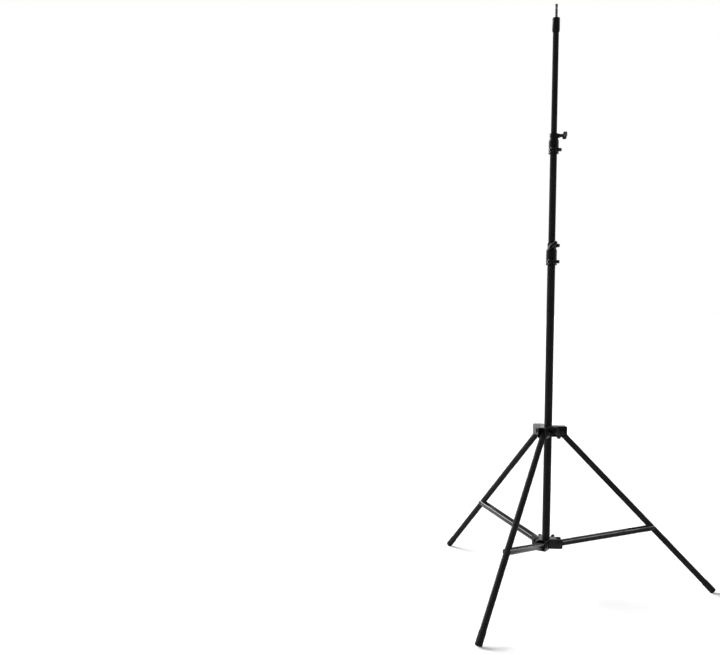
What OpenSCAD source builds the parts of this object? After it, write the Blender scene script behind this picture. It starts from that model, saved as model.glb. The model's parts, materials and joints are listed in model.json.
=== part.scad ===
// Folding tripod light stand: three telescoping tubes on three braced legs.
// Millimetres, +Z up. The origin is on the mast axis at floor level, and leg 1 points along +X.

/* [Mast tubes] */
// Outside diameter of the lower tube
lower_od = 25; // [24.6:0.1:28]
// Outside diameter of the middle tube
middle_od = 22; // [21.6:0.1:22.4]
// Outside diameter of the upper tube
upper_od = 19; // [16:0.1:19.4]
// Wall of the three mast tubes
tube_wall = 1; // [0.7:0.1:1.1]
// Length of the lower tube
lower_len = 951; // [850:1:1100]
// Length of the middle tube
middle_len = 930; // [800:1:940]
// Length of the upper tube
upper_len = 930; // [800:1:940]
// Middle tube showing between the two collars
middle_out = 285; // [200:1:400]
// Upper tube showing between the upper collar and the head cap
upper_out = 323; // [200:1:400]

/* [Tube plugs and guide rings] */
// Depth of a plug inside its tube
plug_depth = 20; // [12:1:30]
// Thickness of the flange that closes a tube's end
plug_flange = 3; // [2:0.5:5]
// Air hole through a plug
plug_vent = 8; // [4:0.5:10]
// Height of the guide ring at the foot of a sliding tube
ring_h = 10; // [6:0.5:16]
// Wall of the guide ring inside the tube's own outline
ring_wall = 2; // [1.5:0.1:3]

/* [Collars] */
// Length of the lower collar
lower_collar_len = 72; // [66:1:84]
// Outside radius of the lower collar's barrel
lower_collar_r = 17.2; // [16:0.1:19]
// Outside radius of the lower collar's neck
lower_neck_r = 13.6; // [13:0.1:15]
// Length of the upper collar
upper_collar_len = 65; // [62:1:80]
// Outside radius of the upper collar's barrel
upper_collar_r = 16.2; // [15:0.1:18]
// Outside radius of the upper collar's neck
upper_neck_r = 13.8; // [12:0.1:14.5]
// Length of tube held in the foot of a collar
collar_grip = 34; // [28:1:38]
// Height of the lip round the foot of a collar
lip_h = 3; // [2:0.5:5]
// How far the lip stands out from the barrel
lip_out = 0.8; // [0.4:0.1:1.5]
// Height of the neck at the top of a collar
neck_h = 15; // [13:0.5:18]
// Height of the slope from barrel to neck
shoulder_h = 9; // [4:0.5:12]
// Knob screw below the top of a collar
knob_drop = 8; // [7:0.5:9]
// Diameter of the boss that holds a knob screw
boss_d = 14; // [12:0.5:14]
// Distance of a collar boss's face from the mast axis
collar_boss_r = 19; // [18:0.5:22]

/* [Pinch bolts] */
// Pinch bolt above the foot of a collar
pinch_rise = 11; // [10:0.5:14]
// Pinch bolt axis beyond the surface of the clamped tube
pinch_offset = 6; // [5:0.5:8]
// Diameter of a pinch bolt
pinch_d = 5; // [4:0.5:6]
// Half the width across the two clamp ears
ear_half = 13; // [11:0.5:15]
// Radius of the rounded end of an ear
ear_r = 7; // [6:0.25:8]
// Width of the slit between the ears
slit_w = 2.5; // [1.5:0.1:4]
// Height of the slit from the foot of the collar
slit_h = 26; // [20:1:30]
// Diameter of the sleeve nut on a pinch bolt
sleeve_d = 11; // [9:0.5:13]
// Length of the sleeve nut
sleeve_len = 8.5; // [8:0.5:14]

/* [Knobs] */
// Diameter of a knob screw
knob_screw_d = 6; // [5:0.5:7]
// Diameter of a knob's neck
knob_neck_d = 11.5; // [10:0.5:13]
// Length of a knob's neck
knob_neck_len = 11; // [8:0.5:16]
// Length of the T bar on a collar's knob
bar_len = 31; // [24:1:40]
// Length of the T bar on the hub's and the bracket's knob
leg_bar_len = 42; // [30:1:46]
// Width of the T bar
bar_w = 10; // [8:0.5:13]
// Thickness of the T bar along the screw
bar_t = 11.5; // [9:0.5:14]
// How far a screw reaches into its knob
knob_hold = 14; // [10:0.5:18]
// Height of the blanking screw's head
blank_head_h = 6; // [4:0.5:8]

/* [Leg hub] */
// Outside diameter of the hub ring
hub_ring_od = 37; // [34:0.5:42]
// Height of the hub
hub_h = 35; // [33:0.5:44]
// Leg pivot above the underside of the hub
hub_drop = 13.5; // [11:0.5:15]
// Leg pivot's distance from the mast axis
hub_pivot_r = 42; // [41:0.5:52]
// End of a hub arm beyond the leg pivot
hub_arm_past = 17; // [13:0.5:18]
// Thickness of the two cheeks of an arm
cheek = 3.8; // [3:0.1:5]
// Thickness of the wall that closes an arm
arm_roof = 4; // [3:0.5:6]
// Radius of an arm's outer corners
arm_corner = 5; // [3:0.5:8]
// Distance of the hub boss's face from the mast axis
hub_boss_r = 28; // [26:0.5:34]
// Outside diameter of a threaded insert
insert_d = 9; // [8.5:0.5:11]

/* [Legs] */
// Angle of an opened leg from the vertical
leg_angle = 44.5; // [40:0.5:49]
// Leg pivot to brace rivet, along the leg
leg_upper = 429; // [390:1:460]
// Brace rivet to the end of the foot, along the leg
leg_lower = 289; // [250:1:330]
// Outside diameter of a leg tube
leg_od = 19; // [17:0.1:20]
// Wall of a leg tube
leg_wall = 1.2; // [0.8:0.1:1.6]
// Leg tube above its pivot
leg_head = 11; // [9:0.5:13]
// Thickness of a leg plug's end
leg_plug_end = 2; // [1.5:0.5:3]
// Diameter of the leg pivot bolt
leg_bolt_d = 6; // [5:0.5:7]
// Wall of a foot cap
foot_wall = 1.1; // [0.9:0.1:3]
// Thickness of the end of a foot cap
foot_end = 4; // [3:0.5:8]
// Length of a foot cap
foot_len = 42; // [30:1:60]
// Depth of the flat worn on a foot's lower edge
sole_cut = 2; // [1:0.25:3]

/* [Braces] */
// Angle by which an opened brace rises outward
brace_rise = 10.7; // [6:0.1:16]
// Thickness of the brace's sheet
brace_wall = 1.5; // [1:0.1:2]
// Height of the brace's side
brace_h = 15; // [13:0.5:18]
// Length of the open fork at the brace's outer end
fork_len = 76; // [74:1:110]
// Diameter of the brace rivets
rivet_d = 5; // [4:0.5:6]
// Diameter of a rivet's head
rivet_head_d = 10; // [8:0.5:12]
// Height of a rivet's head
rivet_head_h = 2.4; // [1.5:0.1:3.5]
// Diameter of the brace pivot bolt
brace_bolt_d = 5; // [4:0.5:6]

/* [Brace bracket] */
// Outside diameter of the bracket ring
bracket_ring_od = 36; // [34:0.5:40]
// Height of the bracket
bracket_h = 32; // [30:0.5:38]
// Brace pivot above the underside of the bracket
bracket_drop = 16; // [14:0.5:18]
// Brace pivot's distance from the mast axis
bracket_pivot_r = 41; // [40:0.5:46]
// End of a bracket arm beyond the brace pivot
bracket_arm_past = 10.5; // [10:0.5:16]
// Distance of the bracket boss's face from the mast axis
bracket_boss_r = 27; // [24:0.5:30]

/* [Head] */
// Outside diameter of the head cap
head_od = 24.5; // [23.5:0.5:28]
// Length of the head cap
head_len = 44; // [36:1:60]
// Thickness of the head cap's top
head_top = 6; // [4:0.5:10]
// Diameter of the stud on the head
stud_d = 9.5; // [8.5:0.1:10.5]
// Plain length of the stud
stud_plain = 28; // [20:1:34]
// Length of the stud's groove
stud_groove = 5; // [3:0.5:8]
// Length of the stud's tip
stud_tip = 11; // [8:0.5:14]
// Depth of the stud's groove
stud_groove_in = 1.2; // [0.8:0.1:1.6]
// Chamfer on the stud's tip
stud_chamfer = 1.2; // [0.5:0.1:2]
// Diameter of the stud's shank through the head cap
stud_shank_d = 8; // [6:0.5:8]
// Diameter of the screw that holds the head cap
cap_screw_d = 4; // [3:0.5:5]

/* [Fasteners and clearances] */
// Width across the flats of a bolt head or nut, as a multiple of the bolt
flats_ratio = 1.7; // [1.5:0.05:1.8]
// Height of a bolt head or nut, as a multiple of the bolt
head_ratio = 0.75; // [0.6:0.05:0.9]
// Bolt left standing beyond its nut
bolt_tail = 2; // [1:0.5:3]
// Radial clearance of pieces fixed in one another
fix_fit = 0.05; // [0.02:0.01:0.08]
// Radial clearance of a turning pin
turn_fit = 0.05; // [0.02:0.01:0.1]
// Radial clearance of a sliding tube
slide_fit = 0.08; // [0.04:0.01:0.1]
// Gap at each side of a piece held between two cheeks
side_gap = 0.5; // [0.3:0.05:0.7]
// Gap between a knob and its boss, and at a screw's tip
tip_gap = 0.3; // [0.2:0.05:0.6]

/* [Hidden] */
$fn = 64;
eps = 1;

satin_black = "#1b1b1d";
moulded_black = "#222224";
rubber_black = "#161616";
steel = "#9a9b9e";
brass = "#b08d4a";

legs = [1, 2, 3];
leg_step = 120;
hub_knob_az = -60;
bracket_knob_az = 58;
lower_knob_az = -95;
upper_knob_az = -25;
blank_az = 0;
lower_bar_turn = -50;
hub_bar_turn = 24;
upper_bar_turn = -40;
bracket_bar_turn = 28;

lower_id = lower_od - 2 * tube_wall;
middle_id = middle_od - 2 * tube_wall;
upper_id = upper_od - 2 * tube_wall;
leg_id = leg_od - 2 * leg_wall;

// Leg triangle: pivot on the hub, rivet on the leg, pivot on the bracket
leg_len = leg_upper + leg_lower;
foot_r = leg_od / 2 + foot_wall;
hub_pivot_z = leg_len * cos(leg_angle) + foot_r * sin(leg_angle) - sole_cut;
rivet_r = hub_pivot_r + leg_upper * sin(leg_angle);
rivet_z = hub_pivot_z - leg_upper * cos(leg_angle);
brace_run = rivet_r - bracket_pivot_r;
brace_len = brace_run / cos(brace_rise);
bracket_pivot_z = rivet_z - brace_run * tan(brace_rise);

// Heights up the mast
bracket_z = bracket_pivot_z - bracket_drop;
lower_z = bracket_z + plug_flange;
hub_z = hub_pivot_z - hub_drop;
lower_collar_z = lower_z + lower_len - collar_grip;
lower_knob_z = lower_collar_z + lower_collar_len - knob_drop;
upper_collar_z = lower_collar_z + lower_collar_len + middle_out;
upper_knob_z = upper_collar_z + upper_collar_len - knob_drop;
middle_z = upper_collar_z + collar_grip - middle_len;
head_z = upper_collar_z + upper_collar_len + upper_out;
head_top_z = head_z + head_len;
upper_z = head_top_z - head_top - upper_len;

// Widths across the arms
brace_w = leg_od + 2 * side_gap + 2 * brace_wall;
hub_slot_w = leg_od + 2 * side_gap;
hub_arm_w = hub_slot_w + 2 * cheek;
bracket_slot_w = brace_w + 2 * side_gap;
bracket_arm_w = bracket_slot_w + 2 * cheek;
leg_turn_r = norm([leg_head + leg_plug_end, leg_od / 2]) + side_gap;

function nut_flats(d) = d * flats_ratio;
function nut_h(d) = d * head_ratio;

// Frames
module at_leg(i) rotate([0, 0, (i - 1) * leg_step]) children();
module along_leg(i)
  at_leg(i) translate([hub_pivot_r, 0, hub_pivot_z]) rotate([0, 180 - leg_angle, 0]) children();
module along_brace(i)
  at_leg(i) translate([bracket_pivot_r, 0, bracket_pivot_z]) rotate([0, -brace_rise, 0]) children();
module outward(az, r, z) rotate([0, 0, az]) translate([r, 0, z]) rotate([0, 90, 0]) children();

// Shared shapes
module tube(od, wall, len) {
  difference() {
    cylinder(d = od, h = len);
    translate([0, 0, -eps]) cylinder(d = od - 2 * wall, h = len + 2 * eps);
  }
}
module across(d, len) rotate([90, 0, 0]) cylinder(d = d, h = len, center = true);
module hex(flats, h) cylinder(d = flats / cos(30), h = h, $fn = 6);
module round_rect(w, h, r) {
  translate([r, 0]) square([w - 2 * r, h]);
  translate([0, r]) square([w, h - 2 * r]);
  for (x = [r, w - r], y = [r, h - r]) translate([x, y]) circle(r);
}
module stadium(len, w) {
  square([len - w, w], center = true);
  for (s = [-1, 1]) translate([s * (len - w) / 2, 0]) circle(d = w);
}

// Plug in the foot of a sliding tube, with a groove for the guide ring
module spool_plug(tube_d, bore_d) {
  neck_d = tube_d - 2 * ring_wall;
  groove = ring_h + 2 * slide_fit;
  difference() {
    union() {
      cylinder(d = bore_d - 2 * fix_fit, h = plug_depth);
      translate([0, 0, -plug_flange]) cylinder(d = tube_d, h = plug_flange);
      translate([0, 0, -plug_flange - groove]) cylinder(d = neck_d, h = groove + eps);
      translate([0, 0, -2 * plug_flange - groove]) cylinder(d = tube_d, h = plug_flange);
    }
    translate([0, 0, -2 * plug_flange - groove - eps])
      cylinder(d = plug_vent, h = plug_depth + 2 * plug_flange + groove + 2 * eps);
  }
}
module guide_ring(tube_d, outer_bore) {
  inner = tube_d - 2 * ring_wall + 2 * turn_fit;
  translate([0, 0, -plug_flange - slide_fit - ring_h]) difference() {
    cylinder(d = outer_bore - 2 * slide_fit, h = ring_h);
    translate([0, 0, -eps]) cylinder(d = inner, h = ring_h + 2 * eps);
  }
}

// Clamp collar: barrel, neck, knob boss and pinch ears at the front
module clamp_collar(len, barrel_r, neck_r, tube_d, next_d, boss_azimuths) {
  ear_y = -tube_d / 2 - pinch_offset;
  knob_z = len - knob_drop;
  difference() {
    union() {
      rotate_extrude() polygon([
        [0, 0], [barrel_r + lip_out, 0], [barrel_r + lip_out, lip_h], [barrel_r, lip_h + lip_out],
        [barrel_r, len - neck_h - shoulder_h], [neck_r, len - neck_h], [neck_r, len], [0, len]
      ]);
      for (az = boss_azimuths) outward(az, 0, knob_z) cylinder(d = boss_d, h = collar_boss_r);
      translate([-ear_half, 0, 0]) rotate([90, 0, 90]) linear_extrude(2 * ear_half) {
        translate([ear_y, pinch_rise]) circle(ear_r);
        translate([ear_y, pinch_rise - ear_r]) square([-ear_y, 2 * ear_r]);
      }
    }
    translate([0, 0, -eps]) cylinder(d = tube_d + 2 * fix_fit, h = collar_grip + eps);
    cylinder(d = next_d + 2 * slide_fit, h = len + eps);
    translate([-slit_w / 2, 2 * ear_y, -eps]) cube([slit_w, -2 * ear_y, slit_h + eps]);
    translate([0, ear_y, pinch_rise]) rotate([0, 90, 0])
      cylinder(d = pinch_d + 2 * fix_fit, h = 2 * ear_half + 2 * eps, center = true);
    for (az = boss_azimuths)
      outward(az, 0, knob_z) cylinder(d = knob_screw_d + 2 * turn_fit, h = collar_boss_r + eps);
  }
}
module pinch_bolt(tube_d) {
  translate([-ear_half, -tube_d / 2 - pinch_offset, pinch_rise]) rotate([0, 90, 0]) {
    cylinder(d = pinch_d, h = 2 * ear_half + sleeve_len - pinch_d / 2);
    translate([0, 0, -nut_h(pinch_d)]) hex(nut_flats(pinch_d), nut_h(pinch_d));
  }
}
module sleeve_nut(tube_d) {
  translate([ear_half, -tube_d / 2 - pinch_offset, pinch_rise]) rotate([0, 90, 0]) difference() {
    cylinder(d = sleeve_d, h = sleeve_len);
    translate([0, 0, -eps]) cylinder(d = pinch_d + 2 * fix_fit, h = sleeve_len - pinch_d / 2 + eps);
  }
}

// T knob standing on its boss, +Z outward, and the screw that it turns
module t_knob(len, turn) {
  difference() {
    union() {
      cylinder(d = knob_neck_d, h = knob_neck_len + bar_t / 2);
      translate([0, 0, knob_neck_len]) rotate([0, 0, turn]) linear_extrude(bar_t) stadium(len, bar_w);
    }
    translate([0, 0, -eps]) cylinder(d = knob_screw_d + 2 * fix_fit, h = knob_hold + eps);
  }
}
module knob_screw(boss_r, tip_r) {
  translate([0, 0, tip_r]) cylinder(d = knob_screw_d, h = boss_r + tip_gap + knob_hold - tip_r);
}

// Ring with three clevis arms; the slot's mouth is at the bottom or, turned over, at the top
module arm_outline(reach, h) difference() {
  round_rect(reach, h, arm_corner);
  translate([-eps, -eps]) square([eps, h + 2 * eps]);
}
module clevis_ring(ring_od, h, reach, arm_w, boss_az, boss_r, boss_z) {
  cylinder(d = ring_od, h = h);
  for (i = legs) at_leg(i) rotate([90, 0, 0]) translate([0, 0, -arm_w / 2]) linear_extrude(arm_w)
    arm_outline(reach, h);
  outward(boss_az, 0, boss_z) cylinder(d = boss_d, h = boss_r);
}

// Bolt across a clevis, head at +Y, and its nut
module cross_bolt(d, grip) {
  rotate([90, 0, 0]) {
    translate([0, 0, -grip / 2]) cylinder(d = d, h = grip + nut_h(d) + bolt_tail);
    translate([0, 0, -grip / 2 - nut_h(d)]) hex(nut_flats(d), nut_h(d));
  }
}
module cross_nut(d, grip) {
  rotate([90, 0, 0]) translate([0, 0, grip / 2]) difference() {
    hex(nut_flats(d), nut_h(d));
    translate([0, 0, -eps]) cylinder(d = d + 2 * fix_fit, h = nut_h(d) + 2 * eps);
  }
}

// Lower mast
module lower_tube() color(satin_black) translate([0, 0, lower_z]) tube(lower_od, tube_wall, lower_len);
module base_plug() color(moulded_black) translate([0, 0, lower_z]) difference() {
  union() {
    translate([0, 0, -plug_flange]) cylinder(d = lower_od, h = plug_flange);
    cylinder(d = lower_id - 2 * fix_fit, h = plug_depth);
  }
  translate([0, 0, -plug_flange - eps]) cylinder(d = plug_vent, h = plug_depth + plug_flange + 2 * eps);
}
module brace_bracket() color(moulded_black) translate([0, 0, bracket_z]) difference() {
  clevis_ring(bracket_ring_od, bracket_h, bracket_pivot_r + bracket_arm_past, bracket_arm_w,
    bracket_knob_az, bracket_boss_r, bracket_h / 2);
  translate([0, 0, -eps]) cylinder(d = lower_od + 2 * fix_fit, h = bracket_h + 2 * eps);
  for (i = legs) at_leg(i) {
    slot_in = bracket_pivot_r - brace_h / 2 - side_gap;
    translate([slot_in, -bracket_slot_w / 2, arm_roof])
      cube([bracket_pivot_r + bracket_arm_past, bracket_slot_w, bracket_h]);
    translate([bracket_pivot_r, 0, bracket_drop]) across(brace_bolt_d + 2 * fix_fit, bracket_arm_w + 2 * eps);
  }
  outward(bracket_knob_az, 0, bracket_h / 2) cylinder(d = insert_d + 2 * fix_fit, h = bracket_boss_r + eps);
}
module threaded_insert(boss_r) color(brass) difference() {
  in_r = lower_od / 2 + slide_fit;
  cylinder(d = insert_d, h = boss_r);
  translate([0, 0, -eps]) cylinder(d = knob_screw_d + 2 * turn_fit, h = boss_r + 2 * eps);
  rotate([0, 90, 0]) cylinder(r = in_r, h = 2 * lower_od, center = true);
}
module bracket_insert()
  outward(bracket_knob_az, 0, bracket_z + bracket_h / 2) threaded_insert(bracket_boss_r);
module brace_pivot_bolts() color(steel) for (i = legs)
  at_leg(i) translate([bracket_pivot_r, 0, bracket_pivot_z]) cross_bolt(brace_bolt_d, bracket_arm_w);
module brace_pivot_nuts() color(steel) for (i = legs)
  at_leg(i) translate([bracket_pivot_r, 0, bracket_pivot_z]) cross_nut(brace_bolt_d, bracket_arm_w);
module bracket_knob() color(moulded_black)
  outward(bracket_knob_az, bracket_boss_r + tip_gap, bracket_z + bracket_h / 2)
    t_knob(leg_bar_len, bracket_bar_turn);
module bracket_knob_screw() color(steel)
  outward(bracket_knob_az, 0, bracket_z + bracket_h / 2)
    knob_screw(bracket_boss_r, lower_od / 2 + tip_gap);

// Lower collar
module lower_collar() color(moulded_black) translate([0, 0, lower_collar_z])
  clamp_collar(lower_collar_len, lower_collar_r, lower_neck_r, lower_od, middle_od,
    [lower_knob_az, blank_az]);
module lower_blank_screw() color(steel) outward(blank_az, 0, lower_knob_z) {
  translate([0, 0, middle_od / 2 + tip_gap]) cylinder(d = knob_screw_d, h = collar_boss_r - middle_od / 2);
  translate([0, 0, collar_boss_r]) cylinder(d = knob_neck_d, h = blank_head_h);
}
module lower_pinch_bolt() color(steel) translate([0, 0, lower_collar_z]) pinch_bolt(lower_od);
module lower_pinch_nut() color(satin_black) translate([0, 0, lower_collar_z]) sleeve_nut(lower_od);
module lower_knob() color(moulded_black)
  outward(lower_knob_az, collar_boss_r + tip_gap, lower_knob_z) t_knob(bar_len, lower_bar_turn);
module lower_knob_screw() color(steel)
  outward(lower_knob_az, 0, lower_knob_z) knob_screw(collar_boss_r, middle_od / 2 + tip_gap);

// Sliding hub
module leg_hub() color(moulded_black) translate([0, 0, hub_z]) difference() {
  clevis_ring(hub_ring_od, hub_h, hub_pivot_r + hub_arm_past, hub_arm_w, hub_knob_az, hub_boss_r, hub_h / 2);
  translate([0, 0, -eps]) cylinder(d = lower_od + 2 * slide_fit, h = hub_h + 2 * eps);
  for (i = legs) at_leg(i) {
    translate([hub_pivot_r - leg_turn_r, -hub_slot_w / 2, -arm_roof])
      cube([leg_turn_r + hub_arm_past + eps, hub_slot_w, hub_h]);
    translate([hub_pivot_r, 0, hub_drop]) across(leg_bolt_d + 2 * fix_fit, hub_arm_w + 2 * eps);
  }
  outward(hub_knob_az, 0, hub_h / 2) cylinder(d = insert_d + 2 * fix_fit, h = hub_boss_r + eps);
}
module hub_insert() outward(hub_knob_az, 0, hub_z + hub_h / 2) threaded_insert(hub_boss_r);
module leg_pivot_bolts() color(steel) for (i = legs)
  at_leg(i) translate([hub_pivot_r, 0, hub_pivot_z]) cross_bolt(leg_bolt_d, hub_arm_w);
module leg_pivot_nuts() color(steel) for (i = legs)
  at_leg(i) translate([hub_pivot_r, 0, hub_pivot_z]) cross_nut(leg_bolt_d, hub_arm_w);
module hub_knob() color(moulded_black)
  outward(hub_knob_az, hub_boss_r + tip_gap, hub_z + hub_h / 2) t_knob(leg_bar_len, hub_bar_turn);
module hub_knob_screw() color(steel)
  outward(hub_knob_az, 0, hub_z + hub_h / 2) knob_screw(hub_boss_r, lower_od / 2 + tip_gap);

// Legs and feet
module leg_tube(i) color(satin_black) along_leg(i) difference() {
  translate([0, 0, -leg_head]) tube(leg_od, leg_wall, leg_head + leg_len - foot_end);
  across(leg_bolt_d + 2 * turn_fit, leg_od + 2 * eps);
  translate([0, 0, leg_upper]) across(rivet_d + 2 * turn_fit, leg_od + 2 * eps);
}
module leg_plug(i) color(moulded_black) along_leg(i) difference() {
  union() {
    translate([0, 0, -leg_head - leg_plug_end]) cylinder(d = leg_od, h = leg_plug_end);
    translate([0, 0, -leg_head]) cylinder(d = leg_id - 2 * fix_fit, h = leg_head + plug_depth);
  }
  across(leg_bolt_d + 2 * turn_fit, leg_od + 2 * eps);
}
module foot(i) color(rubber_black) difference() {
  along_leg(i) translate([0, 0, leg_len - foot_len]) difference() {
    cylinder(r = foot_r, h = foot_len);
    translate([0, 0, -eps]) cylinder(d = leg_od + 2 * fix_fit, h = foot_len - foot_end + eps);
  }
  at_leg(i) translate([0, -foot_len, -foot_len]) cube([2 * leg_len, 2 * foot_len, foot_len]);
}

// Braces: folded sheet, open below, forked where it straddles the leg
module brace(i) color(satin_black) along_brace(i) difference() {
  union() {
    for (s = [-1, 1]) translate([brace_len / 2, s * (brace_w - brace_wall) / 2, 0]) rotate([90, 0, 0])
      linear_extrude(brace_wall, center = true) stadium(brace_len + brace_h, brace_h);
    translate([0, -brace_w / 2, brace_h / 2 - brace_wall]) cube([brace_len - fork_len, brace_w, brace_wall]);
  }
  across(brace_bolt_d + 2 * turn_fit, brace_w + 2 * eps);
  translate([brace_len, 0, 0]) across(rivet_d + 2 * fix_fit, brace_w + 2 * eps);
}
module brace_rivets(i) color(steel) along_brace(i) for (s = [0, 180])
  translate([brace_len, 0, 0]) rotate([90, 0, s]) translate([0, 0, brace_w / 2]) {
    translate([0, 0, -brace_wall]) cylinder(d = rivet_d, h = brace_wall + rivet_head_h / 2);
    dome_r = (pow(rivet_head_d / 2, 2) + pow(rivet_head_h, 2)) / (2 * rivet_head_h);
    rotate_extrude() intersection() {
      translate([0, rivet_head_h - dome_r]) circle(dome_r);
      square([rivet_head_d / 2, rivet_head_h]);
    }
  }

// Middle section
module middle_tube() color(satin_black) translate([0, 0, middle_z]) tube(middle_od, tube_wall, middle_len);
module middle_plug() color(moulded_black) translate([0, 0, middle_z]) spool_plug(middle_od, middle_id);
module middle_guide_ring() color(moulded_black) translate([0, 0, middle_z]) guide_ring(middle_od, lower_id);
module upper_collar() color(moulded_black) translate([0, 0, upper_collar_z])
  clamp_collar(upper_collar_len, upper_collar_r, upper_neck_r, middle_od, upper_od, [upper_knob_az]);
module upper_pinch_bolt() color(steel) translate([0, 0, upper_collar_z]) pinch_bolt(middle_od);
module upper_pinch_nut() color(satin_black) translate([0, 0, upper_collar_z]) sleeve_nut(middle_od);
module upper_knob() color(moulded_black)
  outward(upper_knob_az, collar_boss_r + tip_gap, upper_knob_z) t_knob(bar_len, upper_bar_turn);
module upper_knob_screw() color(steel)
  outward(upper_knob_az, 0, upper_knob_z) knob_screw(collar_boss_r, upper_od / 2 + tip_gap);

// Upper section and head
module upper_tube() color(satin_black) difference() {
  translate([0, 0, upper_z]) tube(upper_od, tube_wall, upper_len);
  translate([0, 0, head_z + head_len / 2]) across(cap_screw_d + 2 * fix_fit, head_od);
}
module upper_plug() color(moulded_black) translate([0, 0, upper_z]) spool_plug(upper_od, upper_id);
module upper_guide_ring() color(moulded_black) translate([0, 0, upper_z]) guide_ring(upper_od, middle_id);
module head_cap() color(moulded_black) translate([0, 0, head_z]) difference() {
  cylinder(d = head_od, h = head_len);
  translate([0, 0, -eps]) cylinder(d = upper_od + 2 * fix_fit, h = head_len - head_top + eps);
  cylinder(d = stud_shank_d + 2 * fix_fit, h = head_len + eps);
  translate([0, 0, head_len / 2]) across(cap_screw_d + 2 * fix_fit, head_od + 2 * eps);
}
module head_cap_screw() color(steel) translate([0, 0, head_z + head_len / 2]) across(cap_screw_d, head_od);
module stud() color(steel) translate([0, 0, head_top_z]) {
  shank = head_top + nut_h(stud_shank_d) + bolt_tail;
  groove_r = stud_d / 2 - stud_groove_in;
  groove_top = stud_plain + stud_groove;
  top = groove_top + stud_tip;
  rotate_extrude() polygon([
    [0, -shank], [stud_shank_d / 2, -shank], [stud_shank_d / 2, 0], [stud_d / 2, 0],
    [stud_d / 2, stud_plain], [groove_r, stud_plain + stud_groove_in],
    [groove_r, groove_top - stud_groove_in], [stud_d / 2, groove_top], [stud_d / 2, top - stud_chamfer], [stud_d / 2 - stud_chamfer, top], [0, top]
  ]);
}
module stud_nut() color(steel)
  translate([0, 0, head_top_z - head_top - nut_h(stud_shank_d)]) difference() {
    hex(nut_flats(stud_shank_d), nut_h(stud_shank_d));
    translate([0, 0, -eps]) cylinder(d = stud_shank_d + 2 * fix_fit, h = nut_h(stud_shank_d) + 2 * eps);
  }

lower_tube();
base_plug();
brace_bracket();
bracket_insert();
brace_pivot_bolts();
brace_pivot_nuts();
bracket_knob();
bracket_knob_screw();
lower_collar();
lower_blank_screw();
lower_pinch_bolt();
lower_pinch_nut();
lower_knob();
lower_knob_screw();
leg_hub();
hub_insert();
leg_pivot_bolts();
leg_pivot_nuts();
hub_knob();
hub_knob_screw();
for (i = legs) {
  leg_tube(i);
  leg_plug(i);
  foot(i);
  brace(i);
  brace_rivets(i);
}
middle_guide_ring();
middle_tube();
middle_plug();
upper_collar();
upper_pinch_bolt();
upper_pinch_nut();
upper_knob();
upper_knob_screw();
upper_guide_ring();
upper_tube();
upper_plug();
head_cap();
head_cap_screw();
stud();
stud_nut();
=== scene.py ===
"""Folding tripod light stand: finishes and moulded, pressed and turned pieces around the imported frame."""

import json
import math

import bmesh
import bpy
from bpy.props import FloatProperty, FloatVectorProperty, IntProperty, PointerProperty
from bpy.types import Operator, Panel, PropertyGroup
from mathutils import Matrix, Vector


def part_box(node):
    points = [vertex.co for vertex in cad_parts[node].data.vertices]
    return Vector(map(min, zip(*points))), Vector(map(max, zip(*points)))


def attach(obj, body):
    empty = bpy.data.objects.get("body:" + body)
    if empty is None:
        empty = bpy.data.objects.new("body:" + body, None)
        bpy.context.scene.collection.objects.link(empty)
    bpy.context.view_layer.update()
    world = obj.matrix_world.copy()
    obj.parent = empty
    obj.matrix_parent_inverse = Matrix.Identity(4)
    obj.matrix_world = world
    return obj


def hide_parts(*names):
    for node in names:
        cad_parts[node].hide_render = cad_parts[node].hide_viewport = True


bl_info = {
    "name": "Tripod Light Stand",
    "version": (1, 0, 0),
    "blender": (4, 5, 0),
    "location": "View3D > Sidebar > Light Stand",
    "description": "Dresses a folding light stand's frame with its mouldings, pressings and fasteners",
    "category": "Object",
}

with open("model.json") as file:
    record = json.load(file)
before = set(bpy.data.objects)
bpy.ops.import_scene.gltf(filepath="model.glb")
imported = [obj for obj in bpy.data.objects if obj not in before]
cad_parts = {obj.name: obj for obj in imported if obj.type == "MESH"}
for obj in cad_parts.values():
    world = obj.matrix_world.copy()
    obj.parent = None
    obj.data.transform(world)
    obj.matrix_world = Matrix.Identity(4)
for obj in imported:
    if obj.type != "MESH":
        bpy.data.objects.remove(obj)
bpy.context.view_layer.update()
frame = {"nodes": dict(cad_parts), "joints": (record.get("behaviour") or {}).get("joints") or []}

MM = 0.001
TINY = 1e-7
SQUARE = math.pi / 2
CLEARANCE = 0.05 * MM
M5_HOLE = 2.55 * MM
LEGS = (1, 2, 3)
LEG_STEP = math.radians(120)
JOINTS = {joint["name"]: joint for joint in frame["joints"]}

# Angles of the open stand, as in the part's source
LEG_LEAN = math.radians(44.5)
BRACE_RISE = math.radians(10.7)

# Lamp: its side round the stand, its height and how wide it looks, in degrees
LAMPS = (("key", 140, 30, 40), ("top", 100, 78, 14), ("back", 95, 12, 20), ("sweep", 145, 22, 44))
LAMP_AWAY = 4

# Low panel on the left: its side in degrees, its place on that side, its length and height
PANEL_SIDE = 161
PANEL_SPOT = (2.2, 0, 0.26)
PANEL_SIZE = (1.4, 0.5)

# Depth of the view, from front to back, over which the room turns from dim to white in the gloss
ROOM_DEPTH = (-0.7, 0.2)

FLOOR_HALF = 30
SENSOR = 36
VIEW_END = 100

# Knob node: its joint, its body and the turn of its bar about the screw, from upright
KNOBS = {
    "upper_knob": ("upper_knob_turn", "upper_knob_set", -40),
    "lower_knob": ("lower_knob_turn", "lower_knob_set", -50),
    "hub_knob": ("hub_knob_turn", "hub_knob_set", 24),
    "bracket_knob": ("bracket_knob_turn", "bracket_knob_set", 28),
}


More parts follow.
